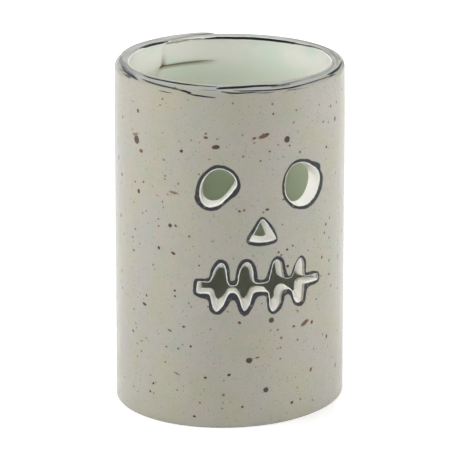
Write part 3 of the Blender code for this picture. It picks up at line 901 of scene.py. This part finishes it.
def roll_tree():
    """A node tree that rolls a flat slab round an upright axis and closes its seam."""
    tree = bpy.data.node_groups.new("roll_slab", "GeometryNodeTree")
    tree.interface.new_socket("Slab", in_out="INPUT", socket_type="NodeSocketGeometry")
    for name in (
        "Outer radius", "Axis depth", "Height", "Hand wave", "Wave size", "Foot oval", "Oval turn", "Seed",
    ):
        tree.interface.new_socket(name, in_out="INPUT", socket_type="NodeSocketFloat")
    tree.interface.new_socket("Glaze", in_out="INPUT", socket_type="NodeSocketMaterial")
    tree.interface.new_socket("Sleeve", in_out="OUTPUT", socket_type="NodeSocketGeometry")
    calculate, times, plus, minus = maths(tree)
    given = add_node(tree, "NodeGroupInput").outputs
    place = add_node(tree, "GeometryNodeInputPosition").outputs[0]
    flat = add_node(tree, "ShaderNodeSeparateXYZ", {0: place}).outputs
    turn = calculate("DIVIDE", flat["X"], given["Outer radius"])
    sine, cosine = calculate("SINE", turn), calculate("COSINE", turn)
    # A slow wave, drawn out along the sleeve's height
    round_place = add_node(tree, "ShaderNodeCombineXYZ", {"X": sine, "Y": cosine, "Z": flat["Z"]}).outputs[0]
    stretch = (OUTER_RADIUS * MM, OUTER_RADIUS * MM, WAVE_STRETCH)
    tall = {0: round_place, 1: stretch}
    tall = add_node(tree, "ShaderNodeVectorMath", tall, operation="MULTIPLY").outputs[0]
    size = calculate("DIVIDE", 1.0, given["Wave size"])
    wave = add_node(
        tree, "ShaderNodeTexNoise", {"Vector": tall, "W": given["Seed"], "Scale": size, "Detail": 1.0},
        noise_dimensions="4D",
    ).outputs[0]
    swing = times(minus(wave, 0.5), given["Hand wave"])
    # The foot's oval, which is gone at the rim
    low = minus(1.0, calculate("DIVIDE", flat["Z"], given["Height"]))
    oval = calculate("COSINE", times(minus(turn, given["Oval turn"]), 2.0))
    oval = times(oval, times(low, low), given["Foot oval"])
    radius = plus(given["Outer radius"], flat["Y"], plus(swing, oval))
    depth = minus(given["Axis depth"], times(radius, cosine))
    rolled = {"X": times(radius, sine), "Y": depth, "Z": flat["Z"]}
    sleeve = given["Slab"]
    for kind, inputs in (
        ("SetPosition", {"Position": add_node(tree, "ShaderNodeCombineXYZ", rolled).outputs[0]}),
        ("MergeByDistance", {"Distance": MERGE_GAP * MM}),
        ("SetShadeSmooth", {}),
        ("RealizeInstances", {}),
        ("SetMaterial", {"Material": given["Glaze"]}),
    ):
        sleeve = add_node(tree, "GeometryNode" + kind, {"Geometry": sleeve, **inputs}).outputs[0]
    add_node(tree, "NodeGroupOutput", {"Sleeve": sleeve})
    return tree


def rolled_sleeve(glaze):
    """The flat slab, rolled up and kept as a plain mesh."""
    drawing = placed("flat_slab", slab_mesh())
    roll = drawing.modifiers.new("roll", "NODES")
    roll.node_group = roll_tree()
    settings = {
        "Outer radius": OUTER_RADIUS * MM,
        "Axis depth": AXIS_Y * MM,
        "Height": HEIGHT * MM,
        "Hand wave": HAND_WAVE * MM,
        "Wave size": WAVE_SIZE * MM,
        "Foot oval": FOOT_OVAL * MM,
        "Oval turn": math.radians(OVAL_TURN),
        "Seed": WAVE_SEED,
        "Glaze": glaze,
    }
    for item in roll.node_group.interface.items_tree:
        if item.name in settings:
            roll[item.identifier] = settings[item.name]
    graph = bpy.context.evaluated_depsgraph_get()
    mesh = bpy.data.meshes.new_from_object(
        drawing.evaluated_get(graph), preserve_all_data_layers=True, depsgraph=graph
    )
    bpy.data.objects.remove(drawing)
    mesh.name = "rolled_sleeve"
    return placed("rolled_sleeve", mesh)


def linear(code):
    """An sRGB hex colour as linear RGBA."""
    shares = [int(code[i : i + 2], 16) / 255 for i in (0, 2, 4)]
    return (*[s / 12.92 if s <= 0.04045 else ((s + 0.055) / 1.055) ** 2.4 for s in shares], 1.0)


def stoneware_glaze():
    """Speckled greige stoneware glaze over iron-rich clay, brushed blue-black ink, and a white liner glaze.

    The glaze is a glass coat over a matt body, so it is glossy with a faint orange peel. Iron in the clay
    bleeds through as brown specks and a fine grey pepper, and the glaze drifts between warm, green and blue
    greys.
    """
    material = bpy.data.materials.new("speckled_stoneware_glaze")
    tree = empty_tree(material)
    calculate, times, plus, minus = maths(tree)
    here = add_node(tree, "ShaderNodeTexCoord").outputs["Object"]
    # Places in millimetres, so that each scale below is one over a size in millimetres
    place = add_node(tree, "ShaderNodeVectorMath", {0: here, "Scale": 1 / MM}, operation="SCALE").outputs[0]
    skin = add_node(tree, "ShaderNodeUVMap", uv_map="slab").outputs[0]

    def value_of(name):
        return add_node(tree, "ShaderNodeAttribute", attribute_name=name).outputs["Fac"]

    def noise(size, detail=2.0, where=place, roughness=0.5):
        inputs = {"Vector": where, "Scale": 1 / size, "Detail": detail, "Roughness": roughness}
        return add_node(tree, "ShaderNodeTexNoise", inputs).outputs[0]

    def moved(where, by=(0, 0, 0), scale=(1, 1, 1)):
        return add_node(tree, "ShaderNodeMapping", {0: where, 1: by, 3: scale}).outputs[0]

    def ramp(value, low, high, start=0.0, end=1.0):
        """A smooth rise from start to end while the value goes from low to high."""
        limits = {"Value": value, "From Min": low, "From Max": high, "To Min": start, "To Max": end}
        return add_node(tree, "ShaderNodeMapRange", limits, interpolation_type="SMOOTHSTEP").outputs[0]

    def blend(share, first, second):
        first, second = (linear(colour) if isinstance(colour, str) else colour for colour in (first, second))
        return add_node(tree, "ShaderNodeMix", {0: share, 6: first, 7: second}, data_type="RGBA").outputs[2]

    # Greige outside, with slow drifts of colour and small clouds in them
    clouds = (
        (26, (0, 0, 0), 0.42, 0.6, 1.0, "B4AFA6"),
        (19, (40, 7, 3), 0.45, 0.62, 1.0, "B3B19F"),
        (23, (-9, 60, 31), 0.5, 0.66, 0.6, "AEB0A9"),
        (13, (33, -20, 64), 0.48, 0.64, 0.6, "B4B097"),
        (6, (15, 90, 2), 0.46, 0.66, 0.4, "BCAFA6"),
        (5, (70, 21, 55), 0.46, 0.66, 0.35, "A8AD9A"),
        (0.55, (5, 5, 5), 0.4, 0.64, 0.15, "86837A"),
    )
    glaze = linear("B4B1A5")
    for size, by, low, high, strength, colour in clouds:
        cloud = noise(size, where=moved(place, by))
        glaze = blend(ramp(cloud, low, high, 0.0, strength), glaze, colour)
    # Pepper of iron, 0.2 mm grains drawn at 0.3 mm so that they show
    pepper = ((1.1, 0.14, 0.28, "7A7567", 0.55), (3.6, 0.1, 0.17, "66584B", 0.75))
    for spacing, low, high, colour, strength in pepper:
        grains = add_node(tree, "ShaderNodeTexVoronoi", {"Vector": place, "Scale": 1 / spacing})
        chance = add_node(tree, "ShaderNodeSeparateColor", {0: grains.outputs["Color"]}).outputs[0]
        reach = times(grains.outputs["Distance"], ramp(chance, 0.35, 1.0, 3.0, 0.8))
        glaze = blend(ramp(reach, low, high, strength, 0.0), glaze, colour)
    # Iron specks
    ragged = times(minus(noise(0.7, 1.0), 0.5), 0.3)
    speck = ramp(plus(value_of("speck"), ragged), -0.12, 0.12)
    tone = value_of("speck_tone")
    iron = linear("40291E")
    for number, colour in enumerate(("734630", "8F7450", "807A70")):
        iron = blend(ramp(tone, number + 0.4, number + 0.6), iron, colour)
    iron = blend(times(noise(0.9), 0.5), iron, "332824")
    glaze = blend(times(speck, 0.96), glaze, iron)
    # Thin ink wash over the rim, with painted pale bluish reflection in its patches
    along = value_of("along")
    wash_and_reflection_patches = ramp(noise(7), 0.35, 0.65, 0.25, 0.85)
    on_rim = times(ramp(along, -4.2, -1.5), ramp(along, 1.5, 3.0, 1.0, 0.0), wash_and_reflection_patches)
    glaze = blend(on_rim, glaze, "ABAFAD")
    # White liner inside and on the cut edges, greener and then greyer down the bore as painted shade, and
    # brown in the lap's crevices as painted shade with some pooled glaze
    liner = blend(ramp(noise(16), 0.4, 0.65), "F4F2EB", "E2EFE4")
    # Painted shade down the bore: darker, then lighter and greener at mid depth, then greyer towards the
    # foot
    for low, high, colour in ((5, 20, "D3D8CA"), (26, 40, "E1E9D2"), (70, 90, "BDBCB7")):
        liner = blend(ramp(along, low, high), liner, colour)
    # Painted shade, with some pooled brown glaze, in the lap's groove and under its collar
    liner = blend(value_of("crevice"), liner, "74653A")
    cut = value_of("cut_along")
    inside = value_of("liner")
    on_cut = times(ramp(cut, 0.2, 0.6), ramp(inside, 0.0, 0.3, 1.0, 0.0))
    liner = blend(on_cut, liner, "FAF8F2")
    # Ochre clay that shows through on the mouth's inner edge
    height = add_node(tree, "ShaderNodeSeparateXYZ", {0: place}).outputs["Z"]
    at_mouth = ramp(height, BARE_BELOW, BARE_BELOW + 4, 0.75, 0.0)
    ochre = times(on_cut, ramp(cut, 3.2, 4.9), at_mouth, ramp(noise(6), 0.48, 0.6))
    liner = blend(ochre, liner, "A48F63")
    start = minus(cut, value_of("bare"))
    covered = calculate("MAXIMUM", ramp(inside, 0.12, 0.5), ramp(start, 0.05, 0.3))
    body = blend(covered, glaze, liner)
    # Ink: brushed lines round the cut-outs and dry strokes round the rim, streaked along the brush's way
    brush_place = moved(moved(skin, scale=(ROUND, SKIN_SPAN, 1)), scale=(0.12, 2.6, 1))
    streaks = noise(1, 3.0, brush_place, 0.6)
    wobble = times(minus(noise(1.6), 0.5), 0.5)
    line = times(
        ramp(plus(value_of("ink"), wobble), -0.1, 0.22),
        ramp(plus(cut, wobble), 0.0, 0.35, 1.0, 0.0),
        ramp(inside, 0.4, 0.6, 1.0, 0.0),
    )
    dark = value_of("stroke_dark")
    dryness = ramp(dark, 0.3, 1.0, 2.2, 0.5)
    dry = times(minus(streaks, 0.5), dryness)
    brushed = times(ramp(plus(value_of("stroke"), dry), -0.1, 0.14), dark)
    joint = times(value_of("seam"), 0.6)
    inked = calculate("MAXIMUM", times(line, 0.96), brushed, joint)
    ink = blend(ramp(noise(2.2), 0.35, 0.7), "0B0F1A", "161C2C")
    # Orange peel, and broader swells in the glaze
    surface = {}
    for strength, distance, height in ((0.35, 0.08, noise(2.4)), (0.5, 0.3, noise(9, 1.0))):
        bump = {"Strength": strength, "Distance": distance * MM, "Height": height, **surface}
        surface = {"Normal": add_node(tree, "ShaderNodeBump", bump).outputs[0]}
    look = {
        "Base Color": blend(inked, body, ink),
        "Roughness": ramp(inked, 0.0, 1.0, 0.2, 0.5),
        "IOR": 1.5,
        **surface,
    }
    shader = add_node(tree, "ShaderNodeBsdfPrincipled", look).outputs[0]
    add_node(tree, "ShaderNodeOutputMaterial", {"Surface": shader})
    return material


def seen_directly(tree):
    """1 for rays from the camera and for what gloss and glass show, 0 for light that falls on the object."""
    rays = add_node(tree, "ShaderNodeLightPath").outputs
    kinds = [rays[f"Is {kind} Ray"] for kind in ("Camera", "Glossy", "Transmission")]
    return maths(tree)[0]("MAXIMUM", *kinds)


def studio():
    """A white floor, an even pale surround, and soft lights round the sleeve."""
    world = bpy.data.worlds.new("pale_surround")
    bpy.context.scene.world = world
    tree = empty_tree(world)
    way = add_node(tree, "ShaderNodeTexCoord").outputs["Generated"]
    lift = add_node(tree, "ShaderNodeSeparateXYZ", {0: way}).outputs["Z"]
    # White walls, and a grey ceiling that starts well above what any camera sees
    limits = {"Value": lift, "From Min": 0.12, "From Max": 0.34, "To Min": 1.0, "To Max": 0.25}
    ceiling = add_node(tree, "ShaderNodeMapRange", limits, interpolation_type="SMOOTHSTEP").outputs[0]
    strength = maths(tree)[1](ceiling, seen_directly(tree))
    sky = add_node(tree, "ShaderNodeBackground", {"Color": WHITE, "Strength": strength}).outputs[0]
    add_node(tree, "ShaderNodeOutputWorld", {"Surface": sky})

    # White paper, which glows for the camera and a little in gloss, and not for the object
    paper = bpy.data.materials.new("white_paper")
    tree = empty_tree(paper)
    _, times, plus, _ = maths(tree)
    matt = add_node(tree, "ShaderNodeBsdfDiffuse", {"Color": linear("E6E6E6")}).outputs[0]
    in_view = add_node(tree, "ShaderNodeLightPath").outputs["Is Camera Ray"]
    in_view = times(in_view, CAMERA_GLOW)
    strength = plus(in_view, times(seen_directly(tree), GLOSS_GLOW))
    glow = add_node(tree, "ShaderNodeEmission", {"Color": WHITE, "Strength": strength}).outputs[0]
    both = add_node(tree, "ShaderNodeAddShader", {0: matt, 1: glow}).outputs[0]
    add_node(tree, "ShaderNodeOutputMaterial", {"Surface": both})
    mesh = bpy.data.meshes.new("floor")
    corners = [(FLOOR_HALF * x, FLOOR_HALF * y, 0) for x, y in ((-1, -1), (1, -1), (1, 1), (-1, 1))]
    mesh.from_pydata(corners, [], [(0, 1, 2, 3)])
    mesh.materials.append(paper)
    floor = placed("floor", mesh)

    aim = Vector((0, AXIS_Y * MM, HEIGHT / 2 * MM))
    for name, turn, lift, away, width, height, watts in SOFT_LIGHTS:
        lamp = bpy.data.lights.new(name, "AREA")
        lamp.shape = "RECTANGLE"
        lamp.size, lamp.size_y = width, height
        lamp.energy = watts
        angle, rise = math.radians(CAMERA_ANGLE + turn), math.radians(lift)
        level = math.cos(rise)
        toward = Vector((level * math.sin(angle), -level * math.cos(angle), math.sin(rise)))
        light = placed(name, lamp)
        light.visible_glossy = False
        light.location = aim + away * toward
        light.rotation_euler = toward.to_track_quat("Z", "Y").to_euler()


def camera():
    """The photograph's view: a long lens, a little to the left of the face and above the rim."""
    lens = bpy.data.cameras.new("camera")
    lens.lens = CAMERA_LENS
    lens.sensor_width = 36.0
    lens.shift_x, lens.shift_y = CAMERA_SHIFT
    lens.clip_start, lens.clip_end = 0.05, 20.0
    eye = placed("camera", lens)
    angle = math.radians(CAMERA_ANGLE)
    away = CAMERA_AWAY * MM
    eye.location = (away * math.sin(angle), AXIS_Y * MM - away * math.cos(angle), CAMERA_UP * MM)
    eye.rotation_euler = (math.radians(90 - CAMERA_DOWN), 0.0, angle)
    bpy.context.scene.camera = eye


bpy.context.scene.view_settings.view_transform = "Standard"
sleeve = rolled_sleeve(stoneware_glaze())
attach(sleeve, "root")
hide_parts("sleeve")
studio()
camera()
